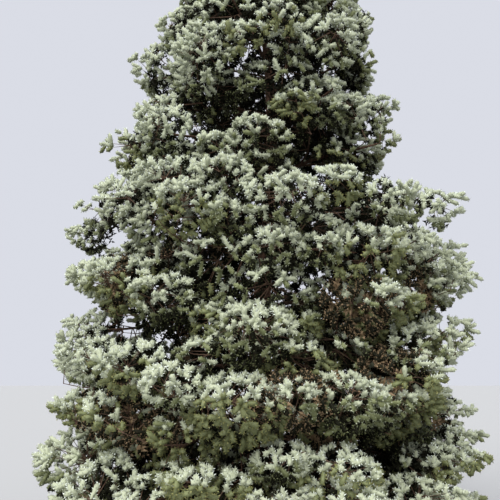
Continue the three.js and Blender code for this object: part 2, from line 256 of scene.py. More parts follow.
# Needles, and the cores that they stand on
NEEDLES_ON_SHOOT = 19
NEEDLE_LENGTH = 0.0235
NEEDLE_HALF_WIDTH = 0.006
NEEDLE_ANGLE = 80
NEEDLE_ANGLE_AT_TIP = 45
NEEDLE_LIFT = 0.2
NEEDLE_AT_TIP = 0.6  # a needle at the tip of a shoot, as a share of one at its foot
LEAST_NEEDLE = 0.85
NEEDLE_VARIES = 0.3  # how much longer than the least a needle may be
FIRST_NEEDLE = 0.03
LAST_NEEDLE = 0.95
NEEDLE_FOOT = 0.5  # how far out in the core a needle starts, as a share of the core's radius
NEEDLE_ROLL = 50
CORE_RADIUS = 0.023
CORE_RINGS = ((0.0, 0.7), (0.8, 1.0))  # share of the shoot's length, and of the core's radius
NEEDLES_ON_OLD = 12
OLD_NEEDLE_LENGTH = 0.046
OLD_NEEDLE_HALF_WIDTH = 0.0125
OLD_CORE_RADIUS = 0.012
OLD_CORE_RINGS = ((0.0, 1.0),)
PIECE_LIMIT = 190_000  # triangles

# The needles' colours, from the palest bloom on young shoots to dead ones. Frost, pale, blue and green are
# also lit and shaded steps of one bloom colour: painted highlight and painted shade
TONES = {
    "frost": (0.6, 0.64, 0.555),
    "pale": (0.47, 0.5, 0.395),
    "blue": (0.335, 0.36, 0.245),
    "green": (0.135, 0.15, 0.065),
    "olive": (0.215, 0.21, 0.075),
    # inner is painted shade: almost black, standing for the shade on the old shoots inside the crown
    "inner": (0.011, 0.011, 0.006),
    "dead": (0.26, 0.18, 0.1),
}
OLIVE, SHADED_INNER, DEAD = (list(TONES).index(tone) for tone in ("olive", "inner", "dead"))
# Painted shade: most shoots' cores take a darker tone than their needles, standing for the shade between the
# needles
CORE_SHADE_TONES = {"frost": "blue", "pale": "blue", "blue": "green", "green": "inner", "olive": "green",
              "inner": "inner", "dead": "inner"}
TONE_STEPS = (1.11, 0.82, 0.6, 0.3)  # the scores between the first five tones
# Scores toward paler tones: farther out is younger needles and also less painted shade; higher on its hand or
# rising is painted highlight, lower is painted shade
OUTER_AGE_AND_LIGHT_SCORE = 1.2
TOP_HIGHLIGHT_SCORE = 0.3
RISING_HIGHLIGHT_SCORE = 0.1
# Painted shade low in the crown and painted highlight higher up: a score that grows with height
PAINTED_LIGHT_PER_HEIGHT = 0.08
PAINTED_LIGHT_LEVEL = 2.6  # the height at which the painted light adds nothing to the score
LEAST_PAINTED_LIGHT = -0.18
MOST_PAINTED_LIGHT = 0.09
HAND_SCORE_VARIES = 0.1
SHOOT_SCORE_VARIES = 0.2
HIGHEST_OUTLINE = 6.9
LEAST_OUTLINE = 0.15
MOST_OUTER = 1.1
OLIVE_SHARE = 0.24  # of the hands
LOW_OLIVE_SHARE = 0.34
LOW_OLIVE_BELOW = 2
OLIVE_TOP = 0.15  # how high on a hand its olive shoots go, from -1 to 1
DEAD_SHARE = 0.17  # of the hands low in the crown
DEAD_BELOW = 2.6
DEAD_OUT = 0.86  # how far out dead shoots go, as a share of the crown's reach

# Materials
PATCHES_PER_METRE = 5
PATCH_DETAIL = 3
PATCH_STOPS = (0.3, 0.7)
PATCH_CONTRAST = 0.1
NEEDLE_ROUGHNESS = 0.6
BLOOM_ROUGHNESS = (0.5, 0.72)
NEEDLE_SHINE = 0.25
INNER_SHINE = 0.06
BARK_DETAIL = 6
BARK_STOPS = (0.35, 0.62)
BARK_ROUGHNESS = 0.92
BARK_SHINE = 0.2
BARK_BUMP_STRENGTH = 0.5
BARK_BUMP_DEPTH = 0.004

# Bark and wood as meshes
PLATE_EDGE = 2.5  # how steeply a bark plate rises from its crack
TRUNK_SIDES = 96
TRUNK_RINGS = 460
TRUNK_RING_POWER = 1.15  # puts the rings closer together toward the foot
TRUNK_PLATE = 0.028
TRUNK_PLATE_STRETCH = 1.7
TRUNK_CRACK = 0.0045
FULL_CRACK_RADIUS = 0.08  # a thinner stem has shallower cracks
LIMB_SIDES = 9
LIMB_RINGS = 40
LIMB_PLATE = 0.014
LIMB_PLATE_STRETCH = 1.3
LIMB_CRACK = 0.14  # as a share of the limb's radius
BOUGH_ENDS = (0.02, 0.8)  # as shares of the reach
SIDE_AXIS_END = 0.82
LIMB_END_SHARE = 0.3
TWIG_SIDES = 3
TWIG_RADIUS = 0.0025
TWIG_RADIUS_PER_LENGTH = 0.010
TWIG_TIP_SHARE = 0.35
LONG_TWIG = 0.35
LONG_TWIG_RINGS = 4
SHORT_TWIG_RINGS = 2

# The stage and the camera
FLOOR_HALF = 60
FLOOR_COLOUR = (0.32, 0.32, 0.315)
FLOOR_ROUGHNESS = 0.9
FLOOR_SHINE = 0.25
HORIZON = (0.70, 0.72, 0.79)
BRIGHTER_FROM = 0.55  # how high in the sky it starts to grow brighter, from 0 at the horizon to 1 overhead
ZENITH_SHARE = 2.2
SUN_STRENGTH = 4.75
SUN_WIDTH = 60
SUN_TILT = 44
SUN_TURN = -20
IMAGE_SIDE = 500
FOCAL_PIXELS = 620
SENSOR_WIDTH = 36
CAMERA_PLACE = (-0.145, -6.0, 1.6)
CAMERA_RISE = 10.95


def chance(*keys):
    """An even share from 0 to 1 that is always the same for the same whole numbers.

    One number among the keys tells each use from the others.
    """
    low_bits = np.uint64(0xFFFFFFFF)
    h = np.uint64(SEED)
    for key in keys:
        h = ((h ^ (np.asarray(key, np.uint64) + np.uint64(0x9E37))) * np.uint64(0x85EBCA6B)) & low_bits
        h = h ^ (h >> np.uint64(13))
    h = ((h ^ (h >> np.uint64(16))) * np.uint64(0xC2B2AE35)) & low_bits
    return (h ^ (h >> np.uint64(15))) / 2.0**32


def vary(amount, *keys):
    """A change of at most the amount, up or down."""
    return amount * (2 * chance(*keys) - 1)


def mix(a, b, share):
    return a + (b - a) * share


def unit(v):
    return v / np.maximum(np.linalg.norm(v, axis=-1, keepdims=True), TINY)


def turned(v, axis, degrees):
    """v turned about a unit axis, row by row."""
    angle = np.radians(np.asarray(degrees, float))[..., None]
    across = np.cross(axis, v)
    along = axis * np.sum(axis * v, axis=-1, keepdims=True)
    return v * np.cos(angle) + across * np.sin(angle) + along * (1 - np.cos(angle))


def crossing(ahead):
    """A level direction square to the one given."""
    across = np.cross(ahead, UP)
    upright = np.linalg.norm(across, axis=-1, keepdims=True) < 0.05
    return unit(np.where(upright, np.array((1.0, 0.0, 0.0)), across))


def outline(height):
    """How far the crown reaches from the trunk's middle line, before its swells."""
    return CROWN_REACH * (1 - (height / TREE_HEIGHT) ** CROWN_FULLNESS)


def swell(height, direction):
    total = 0
    for middle, fade, facing, share in SWELLS:
        seen = np.maximum(0, np.cos(np.radians(direction - facing)))
        total = total + share * seen * np.exp(-(((height - middle) / fade) ** 2))
    return total


def hollow(height, direction):
    total = 0
    for middle, fade, facing, width, share in HOLLOWS:
        aside = (direction - facing + 180) % 360 - 180
        total += share * math.exp(-(((height - middle) / fade) ** 2) - (aside / width) ** 2)
    return total


def trunk_centre(z):
    x = -TRUNK_SWAY * np.sin(2 * np.pi * z / SWAY_HEIGHT)
    y = TRUNK_LEAN * np.sin(2 * np.pi * z / TREE_HEIGHT)
    return np.stack((x, y, z), axis=-1)


def trunk_radius(z, angle):
    stem = mix(TRUNK_TOP_RADIUS, TRUNK_RADIUS, np.maximum(0, 1 - z / TRUNK_TOP) ** TRUNK_TAPER_POWER)
    lobes = 1 + FLARE_LOBE_SHARE * np.cos(FLARE_LOBES * angle + FLARE_TURN)
    return stem + FLARE_WIDTH * np.exp(-z / FLARE_HEIGHT) * lobes


def tip_height(direction):
    """The height at which the spiral meets the crown's outline. Its lowest turn is pressed flatter."""
    turns = np.maximum(0, (direction - FIRST_DIRECTION) / 360)
    return LOWEST_TIP + PITCH * (turns - PRESSED_TURNS * (1 - np.exp(-turns / PRESSED_TURNS)))


def surface(direction, r):
    """The height of the spiral's surface at a distance from the trunk's middle line."""
    tip = tip_height(direction)
    climb = CLIMB_AT_GROUND + CLIMB_PER_HEIGHT * tip
    out = r / outline(tip)
    return tip - climb * (1 - out) + ARCH_SHARE * outline(tip) * np.sin(2 * np.pi * np.minimum(out, 1))


def place(direction, r, above):
    """A point above the spiral's surface."""
    a = np.radians(direction)
    aside = np.stack((r * np.cos(a), r * np.sin(a), np.zeros_like(a + r)), axis=-1)
    return trunk_centre(surface(direction, r) + above) + aside


def band(direction, r):
    """The foot and the top of a mass's space."""
    own = surface(direction, r)
    above = np.where(direction + 360 > SPIRAL_END, CONE_FOOT + CONE_SLOPE * r, surface(direction + 360, r))
    below = (surface(direction - 360, r) + own) / 2 + SPACE_GAP
    return np.where(direction - 360 < SPIRAL_START, GROUND_CLEARANCE, below), (above + own) / 2 - SPACE_GAP


def is_in_space(bough, points):
    """Whether each point keeps to the space of the bough's mass."""
    x, y = (points - trunk_centre(points[..., 2]))[..., :2].T
    r = np.hypot(x, y)
    aside = (np.degrees(np.arctan2(y, x)) - bough["direction"] + 180) % 360 - 180
    bottom, top = band(bough["direction"] + aside, r)
    in_sector = np.abs(aside) < SECTOR / 2 - np.degrees(SPACE_GAP / r)
    return in_sector & (points[..., 2] < top) & (points[..., 2] > bottom)


def bough_of(index):
    direction = FIRST_DIRECTION + index * SECTOR
    tip = tip_height(direction)
    return {
        "index": index,
        "direction": direction,
        "reach": outline(tip) * (1 + swell(tip, direction) + vary(REACH_VARIES, index, 0)),
        "is_bare": FIRST_BARE <= index <= LAST_BARE,
        "bend": vary(BEND_MOST, index, 1),
        "lift": vary(LIFT_MOST, index, 2),
        "high_side": 1 if chance(index, 3) < 0.5 else -1,
    }


def bough_line(bough, r):
    out = r / bough["reach"]
    return place(bough["direction"] + bough["bend"] * np.sin(np.pi * out), r, bough["lift"] * out)


def bough_radius(bough, out):
    return mix(BOUGH_RADIUS * math.sqrt(bough["reach"] / CROWN_REACH), AXIS_TIP_RADIUS, out)


def axes_of(bough):
    """The middle axis carries the bough on, and a side axis forks off on either side."""
    index, reach = bough["index"], bough["reach"]
    start = BOUGH_SHARE * reach if bough["is_bare"] else 0
    fork = (FORK_SHARE if bough["is_bare"] else FORK_SHARE_ON_TRUNK) * reach
    scale = mix(SMALLEST_SCALE, 1, min(1, reach / FULL_SCALE_REACH))
    room = TERMINAL_BRANCH * scale
    fork_direction = bough["direction"] + bough["bend"] * math.sin(math.pi * fork / reach)
    fork_lift = bough["lift"] * fork / reach
    axes = [{
        "side": 0, "scale": scale, "branches": BRANCHES_ON_MIDDLE, "first": FIRST_ON_MIDDLE,
        "path": lambda t: bough_line(bough, mix(start, reach - room, t)),
    }]
    for side in (-1, 1):
        end = (SIDE_REACH + vary(SIDE_REACH_VARIES, index, 4 + side)) * reach - room
        spread = side * SIDE_SPREAD + vary(SIDE_SPREAD_VARIES, index, 7 + side)
        tier = side * bough["high_side"] * TIER_SHARE * PITCH

        def path(t, end=end, spread=spread, tier=tier):
            direction = fork_direction + spread * np.sin(np.pi / 2 * t)
            return place(direction, mix(fork, end, t), fork_lift + tier * t)

        axes.append({
            "side": side, "scale": scale, "branches": BRANCHES_ON_SIDE, "first": FIRST_ON_SIDE,
            "path": path,
        })
    return axes


def direction_at(path, t):
    return unit(path(np.minimum(1, t + HEADING_STEP)) - path(np.maximum(0, t - HEADING_STEP)))


def stem_row(bough_index, root, ahead, length, wood):
    """A row for a table of stems. wood is the share of its length that is built."""
    return {"bough": bough_index, "root": root, "ahead": ahead, "length": length, "wood": wood}


def table_of(rows):
    """Rows of one kind as a table of arrays."""
    return {key: np.array([row[key] for row in rows]) for key in rows[0]}


def shoot_table(group, bough_index, root, ahead, length, height, is_old):
    """A table of shoots. A value given as one number is the same for all of them."""
    count = len(length)
    return {
        "group": np.full(count, group),
        "bough": np.full(count, bough_index),
        "root": root,
        "ahead": ahead,
        "length": length,
        "height": np.full(count, height),  # on its hand or branch, from -1 to 1
        "is_old": np.full(count, is_old),
    }


def chosen(table, keep):
    return {key: values[keep] for key, values in table.items()}


def joined(tables):
    return {key: np.concatenate([table[key] for table in tables]) for key in tables[0]}


def stem_point(stems, s):
    """A point on each stem's own line, which sags a little and lifts again at its tip."""
    s = np.asarray(s)[..., None]
    length = stems["length"][:, None]
    lift = BRANCH_LIFT * s**2 - BRANCH_SAG * np.sin(np.pi * s)
    return stems["root"] + stems["ahead"] * (length * s) + UP * (length * lift)


def stem_heading(stems, s):
    s = np.asarray(s)[..., None]
    return unit(stems["ahead"] + UP * (2 * BRANCH_LIFT * s - BRANCH_SAG * np.pi * np.cos(np.pi * s)))


def branch(bough, axis, t, turn, hang, roll, length, tries):
    """A branch of an axis, made shorter until it fits its mass's space, or None."""
    level = turned(direction_at(axis["path"], t), UP, turn)
    across = crossing(level)
    ahead = turned(level, across, -hang)
    across = turned(across, ahead, roll)
    over = np.cross(across, ahead)
    root = axis["path"](t)
    for share in tries:
        size = length * share
        rim = [root + ahead * along * size + across * aside * BRANCH_WIDTH * size
               for along, aside in BRANCH_OUTLINE]
        sides = [root + ahead * THICKEST * size + over * side * BRANCH_THICKNESS * size for side in (1, -1)]
        if is_in_space(bough, np.array(rim + sides)).all():
            return stem_row(bough["index"], root, ahead, size, BRANCH_WOOD)
    return None


def leading_branches(bough, axis):
    """The branches where the solids have their sprays."""
    found = []
    count = axis["branches"]
    for i in range(count + 1):
        is_terminal = i == count
        t = 1.0 if is_terminal else mix(axis["first"], LAST_ON_AXIS, i / (count - 1))
        side = 1 if (i + axis["side"]) % 2 == 0 else -1
        keys = (bough["index"], 20 + axis["side"], i)
        is_rising = (i // 2) % 2 == (0 if axis["side"] == bough["high_side"] else 1)
        if is_terminal:
            turn, hang, roll = 0, -TERMINAL_LIFT, 0
            length, tries = TERMINAL_BRANCH * axis["scale"], TERMINAL_TRIES
        else:
            turn = side * mix(BRANCH_ANGLE, BRANCH_ANGLE_AT_TIP, t) + vary(TURN_VARIES, *keys, 1)
            hang = (-BRANCH_RISE if is_rising else BRANCH_DROOP) + vary(SLANT_VARIES, *keys, 2)
            roll = side * BRANCH_ROLL + vary(ROLL_VARIES, *keys, 3)
            length, tries = BRANCH_LENGTH * mix(1, BRANCH_TIP_SHARE, t) * axis["scale"], BRANCH_TRIES
        found.append(branch(bough, axis, t, turn, hang, roll, length, tries))
    return [one for one in found if one]


def leader_branches():
    """The whorls round the trunk's end, with side branchlets on each branch, and the tree's top shoot."""
    foot = trunk_centre(np.float64(TRUNK_TOP))
    found = []

    def add(root, ahead, length):
        found.append(stem_row(BOUGH_COUNT, root, ahead, length, LEADER_WOOD))

    for w, (height, count, length, spread) in enumerate(LEADER_WHORLS + INNER_WHORLS):
        for i in range(count):
            a, s = 2 * math.pi * (i + w / 2) / count, math.radians(spread)
            ahead = np.array((math.cos(a) * math.sin(s), math.sin(a) * math.sin(s), math.cos(s)))
            root = foot + UP * height
            add(root, ahead, length)
            over = np.cross(crossing(ahead), ahead)
            for along, share in SIDE_BRANCHLETS:
                for side in (-1, 1):
                    aside = turned(ahead, over, side * SIDE_BRANCHLET_ANGLE)
                    add(root + ahead * length * along, aside, length * share)
    add(foot + UP * (TREE_HEIGHT - TRUNK_TOP - LEADER_TOP_SHOOT), UP, LEADER_TOP_SHOOT)
    return found


def hands_of(bough, row):
    """The hands of a row of a mass: the middle of each, its three half axes and the spacing of its growth."""
    share, level_share, width, *spacings = HAND_ROWS[row]
    arc = math.radians(SECTOR) * bough["reach"] * share
    count = max(FEWEST_HANDS, round(arc / width))
    found = []
    for j in range(count):
        keys = (bough["index"], PLACE_KEY + row, j)
        turn = (j + 0.5 + vary(HAND_TURN_VARIES, *keys, 0)) / count - 0.5
        direction = bough["direction"] + SECTOR * turn
        bottom, top = band(direction, bough["reach"] * share)
        fan = min(2, 3 * j // count)  # which of the three axes the hand hangs on
        stagger = FAN_STAGGER * (vary(1, bough["index"], 140) if fan == 1 else (fan - 1) * bough["high_side"])
        z = max(LOWEST_HAND, mix(bottom, top, level_share + stagger + vary(HAND_STAGGER, *keys, 1)))
        deep = hollow(z, direction)
        own = swell(z, direction) + deep + vary(REACH_VARIES, bough["index"], 0)
        own += vary(FAN_VARIES, bough["index"], 141, fan)
        tip = min(MOST_TIP, share * outline(z) * (1 + own) * (1 + vary(HAND_REACH_VARIES, *keys, 2)))
        size = 1 + vary(HAND_SIZE_VARIES, *keys, 3)
        size *= min(1, max(LEAST_HAND_SIZE, 1 + HAND_SHRINKS * deep))
        a, lift = math.radians(direction), math.radians(HAND_LIFT)
        out = np.array((math.cos(a) * math.cos(lift), math.sin(a) * math.cos(lift), math.sin(lift)))
        side = np.array((-math.sin(a), math.cos(a), 0))
        over = np.cross(out, side)
        depth = min(HAND_DEPTH * outline(z) * size, MOST_HAND_DEPTH * tip)
        level = np.array((math.cos(a), math.sin(a), 0))
        found.append({
            "bough": bough["index"],
            "group": (bough["index"] * len(HAND_ROWS) + row) * GROUPS_IN_ROW + j,
            "keys": (bough["index"], GROWTH_KEY + row, j),
            "middle": trunk_centre(z) + level * (tip - depth),
            "out": out * depth,
            "side": side * 0.5 * HAND_WIDENED * arc / count * size,
            "over": over * HAND_HEIGHT * (top - bottom) * size,
            "spacings": spacings,
        })
    return found


def shape_of(hand, x, y, z):
    """Points of a hand from their shares of its three half axes, without its middle."""
    return x[:, None] * hand["out"] + y[:, None] * hand["side"] + z[:, None] * hand["over"]


def hand_points(hand, spacing, share, keys):
    """Points spread over the outer side of a hand, and how high each is on it, from -1 to 1."""
    a, b, c = (np.linalg.norm(hand[axis]) * share for axis in ("out", "side", "over"))
    power = AREA_POWER
    area = 4 * math.pi * (((a * b) ** power + (a * c) ** power + (b * c) ** power) / 3) ** (1 / power)
    count = max(FEWEST_POINTS, round(area / spacing**2))
    k = np.arange(count)
    x = 1 - 2 * (k + 0.5 + vary(POINT_VARIES, *keys, k, 5)) / count
    k, x = k[(x > HAND_BACK) & (x < 1)], x[(x > HAND_BACK) & (x < 1)]
    turn = GOLDEN_TURN * k + 2 * math.pi * chance(*keys)
    radius = np.sqrt(1 - x**2)
    y, z = radius * np.cos(turn), radius * np.sin(turn)
    x = np.where(x > 0, x, 0) ** HAND_POINTED + np.minimum(x, 0)
    return hand["middle"] + shape_of(hand, x, y, z) * share, z


def inner_points(hand, spacing, keys):
    """Points spread over a hand's middle, behind its skin, and how high each is, from -1 to 1."""
    area = math.pi * np.linalg.norm(hand["side"]) * np.linalg.norm(hand["over"])
    count = max(FEWEST_OLD_POINTS, round(area / spacing**2))
    k = np.arange(count)
    radius = np.sqrt((k + 0.5) / count)
    turn = GOLDEN_TURN * k + 2 * math.pi * chance(*keys)
    x, y, z = mix(*OLD_DEPTH, chance(*keys, k, 6)), radius * np.cos(turn), radius * np.sin(turn)
    return hand["middle"] + shape_of(hand, x, y, z), z


def starts_on(stems, stations):
    """Places on the stems where others can start, station by station, and the stems' directions there."""
    table = table_of(stems)
    places = [stem_point(table, s) for s in stations]
    headings = [stem_heading(table, s) for s in stations]
    return np.concatenate(places), np.concatenate(headings)


def last_stations(starts, count, stations):
    """How far along each stem the last start on it is, or 0. Starts on other stems are left out."""
    station, stem = np.divmod(starts[starts < count * len(stations)], count)
    found = np.zeros(count)
    np.maximum.at(found, stem, stations[station])
    return found


def grown_to(points, places, headings, shortest, longest, bend):
    """The nearest place that can carry a stem to each point, or -1, and the stem's direction and length."""
    to_point = points[:, None] - places[None]
    far = np.linalg.norm(to_point, axis=2)
    along = np.sum(to_point * headings, axis=2) / np.maximum(far, TINY)
    cost = np.where((far > shortest) & (far < longest) & (along > bend), far, np.inf)
    best = np.argmin(cost, axis=1)
    row = np.arange(len(points))
    length = far[row, best]
    ahead = to_point[row, best] / np.maximum(length, TINY)[:, None]
    return np.where(np.isfinite(cost[row, best]), best, -1), ahead, length


def stems_to(points, bough_index, places, headings, longest, wood):
    """The stems to all points that can have one, and the numbers of the places where they start."""
    best, ahead, length = grown_to(points, places, headings, LEAST_BRANCHLET, longest, MOST_BEND)
    found = np.flatnonzero(best >= 0)
    return [stem_row(bough_index, places[best[k]], ahead[k], length[k], wood) for k in found], best[found]


def hand_shoots(hand, stems):
    """Tables of a hand's old shoots and its young ones, and how far along each stem its last shoot stands."""
    keys = hand["keys"]
    _, young_spacing, old_spacing = hand["spacings"]
    places, headings = starts_on(stems, SHOOT_STATIONS)
    layers = [(inner_points(hand, old_spacing, (*keys, 2)), True)]
    if young_spacing:
        layers.append((hand_points(hand, young_spacing, 1, (*keys, 1)), False))
    tables, starts = [], []
    for (points, height), is_old in layers:
        change = vary(SKIN_VARIES, *keys, 0, np.arange(len(points)))
        points = points + (points - hand["middle"]) * change[:, None]
        longest = MOST_OLD_SHOOT if is_old else MOST_SHOOT
        best, ahead, length = grown_to(points, places, headings, LEAST_SHOOT, longest, SHOOT_BEND)
        keep = (best >= 0) & (points[:, 2] > GROUND_CLEARANCE)
        best, ahead, length, height = best[keep], ahead[keep], length[keep], height[keep]
        starts.append(best)
        tables.append(shoot_table(hand["group"], hand["bough"], places[best], ahead, length, height, is_old))
    return tables, last_stations(np.concatenate(starts), len(stems), SHOOT_STATIONS)


def hand_growth(bough, axes, carriers):
    """A spine to each hand from the nearest of what the mass has already, branchlets, and their shoots.

    The wood of the carriers is made longer where it has to reach a stem that starts on it.
    """
    places, headings = starts_on(carriers, BRANCH_STATIONS)
    places = np.concatenate([places] + [axis["path"](AXIS_STATIONS) for axis in axes])
    headings = np.concatenate([headings] + [direction_at(axis["path"], AXIS_STATIONS) for axis in axes])
    stems, shoot_tables, all_starts = [], [], []
    for hand in [hand for row in range(len(HAND_ROWS)) for hand in hands_of(bough, row)]:
        goal = hand["middle"] + SPINE_GOAL * hand["out"]
        spine, starts = stems_to(goal[None], hand["bough"], places, headings, MOST_SPINE, SPINE_WOOD)
        if not spine:
            continue
        stems += spine
        all_starts.append(starts)
        spine_places, spine_headings = starts_on(spine, SPINE_STATIONS)
        own_places = np.concatenate((places, spine_places))
        own_headings = np.concatenate((headings, spine_headings))
        points, _ = hand_points(hand, hand["spacings"][0], BRANCHLET_SHARE, hand["keys"])
        branchlets, starts = stems_to(points, hand["bough"], own_places, own_headings, MOST_BRANCHLET, 1)
        if not branchlets:
            continue
        all_starts.append(starts)
        tables, wood = hand_shoots(hand, branchlets + spine)
        shoot_tables += tables
        # A branchlet's wood ends where its last shoot stands, and one without shoots isn't built
        stems += [{**one, "wood": share} for one, share in zip(branchlets, wood) if share]
    last_used = last_stations(np.concatenate(all_starts), len(carriers), BRANCH_STATIONS)
    for one, share in zip(carriers, last_used):
        one["wood"] = max(one["wood"], share)
    return stems, shoot_tables


def leader_shoots(stems):
    """Shoots all round the outer part of each stem, and one at its end."""
    counts = np.maximum(FEWEST_SHOOTS, np.round(stems["length"] / LEADER_SPACING)).astype(int)
    owner = np.repeat(np.arange(len(counts)), counts)
    number = np.concatenate([np.arange(count) for count in counts])
    carrier = chosen(stems, owner)
    keys = (owner, number)
    s = mix(*LEADER_SHOOTS, (number + chance(*keys, 60)) / counts[owner])
    around = number * GOLDEN_TURN + 2 * np.pi * chance(owner, 61)
    ahead = stem_heading(carrier, s)
    over = unit(np.cross(crossing(carrier["ahead"]), ahead))
    across = np.cross(ahead, over)
    spoke = across * np.cos(around)[:, None] + over * np.sin(around)[:, None]
    degrees = mix(SHOOT_ANGLE, SHOOT_ANGLE_AT_TIP, s) + vary(SHOOT_ANGLE_VARIES, *keys, 62)
    angle = np.radians(degrees)[:, None]
    out = unit(ahead * np.cos(angle) + spoke * np.sin(angle) + UP * SHOOT_LIFT)
    length = SHOOT_LENGTH * (1 + vary(SHOOT_LENGTH_VARIES, *keys, 63))
    sides = shoot_table(
        LEADER_GROUP + owner, BOUGH_COUNT, stem_point(carrier, s), out, length, np.sin(around), False)
    size = np.minimum(END_SHOOT_LENGTH, END_SHOOT_SHARE * stems["length"])
    ends = shoot_table(
        LEADER_GROUP + np.arange(len(counts)), BOUGH_COUNT, stem_point(stems, 1 - size / stems["length"]),
        stem_heading(stems, END_SHOOT_HEADING), size, END_SHOOT_HEIGHT, False)
    return joined([sides, ends])


def frame_of(shoots):
    """The direction of each shoot, and a function that gives the spoke at a turn round it."""
    ahead = shoots["ahead"]
    across = crossing(ahead)
    over = np.cross(across, ahead)

    def spoke(turn):
        turn = np.broadcast_to(turn, (len(ahead),))[:, None]
        return across * np.cos(turn) + over * np.sin(turn)

    return ahead, spoke


def repeated(pattern, count, stride):
    """A pattern of faces for each of many shoots or stems."""
    pattern = np.array(pattern)
    return (pattern[None] + (np.arange(count) * stride)[:, None, None]).reshape(-1, pattern.shape[1])


def core_triangles(rings):
    return 6 * (len(rings) - 1) + 3


def core_mesh(shoots, radius, rings):
    """The inner body of each shoot: rings of three corners, each turned from the last, and a tip."""
    ahead, spoke = frame_of(shoots)
    first_turn = 2 * np.pi * chance(shoots["number"], 83)
    corners = []
    for ring, (share, width) in enumerate(rings):
        middle = shoots["root"] + ahead * shoots["length"][:, None] * share
        for k in range(3):
            turn = first_turn + math.pi * (2 * k + ring) / 3
            corners.append(middle + spoke(turn) * radius * width)
    corners.append(shoots["root"] + ahead * shoots["length"][:, None])
    faces = []
    last = 3 * (len(rings) - 1)
    for ring in range(0, last, 3):
        for k in range(3):
            n = (k + 1) % 3
            faces += [(ring + k, ring + n, ring + 3 + k), (ring + n, ring + 3 + n, ring + 3 + k)]
    faces += [(last + k, last + (k + 1) % 3, last + 3) for k in range(3)]
    return np.stack(corners, axis=1).reshape(-1, 3), repeated(faces, len(ahead), len(corners))


def needle_mesh(shoots, count, length, half_width, core_radius):
    """The needles of each shoot, one triangle each, standing out of its core all round."""
    ahead, spoke = frame_of(shoots)
    numbers = shoots["number"]
    first_turn = 2 * np.pi * chance(numbers, 80)
    points = []
    for j in range(count):
        s = (j + 0.5) / count
        side = spoke(first_turn + j * GOLDEN_TURN)
        angle = math.radians(mix(NEEDLE_ANGLE, NEEDLE_ANGLE_AT_TIP, s**2))
        out = unit(ahead * math.cos(angle) + side * math.sin(angle) + UP * NEEDLE_LIFT)
        own = (LEAST_NEEDLE + NEEDLE_VARIES * chance(numbers, 81, j))[:, None]
        size = length * mix(1, NEEDLE_AT_TIP, s**2) * own
        along = shoots["length"][:, None] * mix(FIRST_NEEDLE, LAST_NEEDLE, s)
        foot = shoots["root"] + ahead * along + side * core_radius * NEEDLE_FOOT
        flat = unit(ahead - out * np.sum(ahead * out, axis=1, keepdims=True))
        broad = turned(flat, out, vary(NEEDLE_ROLL, numbers, 82, j)) * half_width
        points.append(np.stack((foot - broad, foot + broad, foot + out * size), axis=1))
    pattern = [(3 * j, 3 * j + 1, 3 * j + 2) for j in range(count)]
    return np.concatenate(points, axis=1).reshape(-1, 3), repeated(pattern, len(ahead), 3 * count)


def wall_faces(rings, sides):
    """The four-sided faces of a tube, between each ring of points and the next."""
    ring = np.arange(rings - 1)[:, None] * sides
    k = np.arange(sides)[None]
    n = (k + 1) % sides
    return np.stack((ring + k, ring + n, ring + sides + n, ring + sides + k), axis=-1).reshape(-1, 4)


def tube_mesh(lines, radii, sides):
    """Points and four-sided faces of a tapering tube along each line. lines is stems by points by 3."""
    stems, count, _ = lines.shape
    ahead = unit(np.gradient(lines, axis=1))
    across = crossing(ahead)
    over = np.cross(across, ahead)
    turn = 2 * np.pi * np.arange(sides) / sides
    spokes = across[:, :, None] * np.cos(turn)[:, None] + over[:, :, None] * np.sin(turn)[:, None]
    points = lines[:, :, None] + spokes * radii[:, :, None, None]
    return points.reshape(-1, 3), repeated(wall_faces(count, sides), stems, count * sides)


def both(first, second):
    """Two meshes of points and faces as one."""
    return np.concatenate((first[0], second[0])), np.concatenate((first[1], second[1] + len(first[0])))


def mesh_object(name, points, faces, material, is_smooth):
    """A mesh object of faces that all have the same number of corners."""
    mesh = bpy.data.meshes.new(name)
    corners = faces.shape[1]
    mesh.vertices.add(len(points))
    mesh.vertices.foreach_set("co", points.astype(np.float32).ravel())
    mesh.loops.add(faces.size)
    mesh.loops.foreach_set("vertex_index", faces.astype(np.int32).ravel())
    mesh.polygons.add(len(faces))
    mesh.polygons.foreach_set("loop_start", np.arange(0, faces.size, corners, dtype=np.int32))
    mesh.polygons.foreach_set("use_smooth", np.full(len(faces), is_smooth))
    mesh.update(calc_edges=True)
    mesh.validate()
    mesh.materials.append(material)
    made = bpy.data.objects.new(name, mesh)
    bpy.context.scene.collection.objects.link(made)
    return made


def plain_material(name, colour, roughness, shine):
    material = bpy.data.materials.new(name)
    material.use_nodes = True
    shader = material.node_tree.nodes["Principled BSDF"]
    shader.inputs["Base Color"].default_value = (*colour, 1)
    shader.inputs["Roughness"].default_value = roughness
    shader.inputs["Specular IOR Level"].default_value = shine
    return material


def coloured_by_noise(material, scale, detail, stops, colours):
    """Lets noise in the object's own space set the material's colour, and gives the noise's output."""
    nodes, links = material.node_tree.nodes, material.node_tree.links
    space = nodes.new("ShaderNodeTexCoord")
    patches = nodes.new("ShaderNodeTexNoise")
    patches.inputs["Scale"].default_value = scale
    patches.inputs["Detail"].default_value = detail
    ramp = nodes.new("ShaderNodeValToRGB")
    for element, position, colour in zip(ramp.color_ramp.elements, stops, colours):
        element.position = position
        element.color = (*colour, 1)
    links.new(space.outputs["Object"], patches.inputs["Vector"])
    links.new(patches.outputs["Fac"], ramp.inputs["Fac"])
    links.new(ramp.outputs["Color"], nodes["Principled BSDF"].inputs["Base Color"])
    return patches.outputs["Fac"]


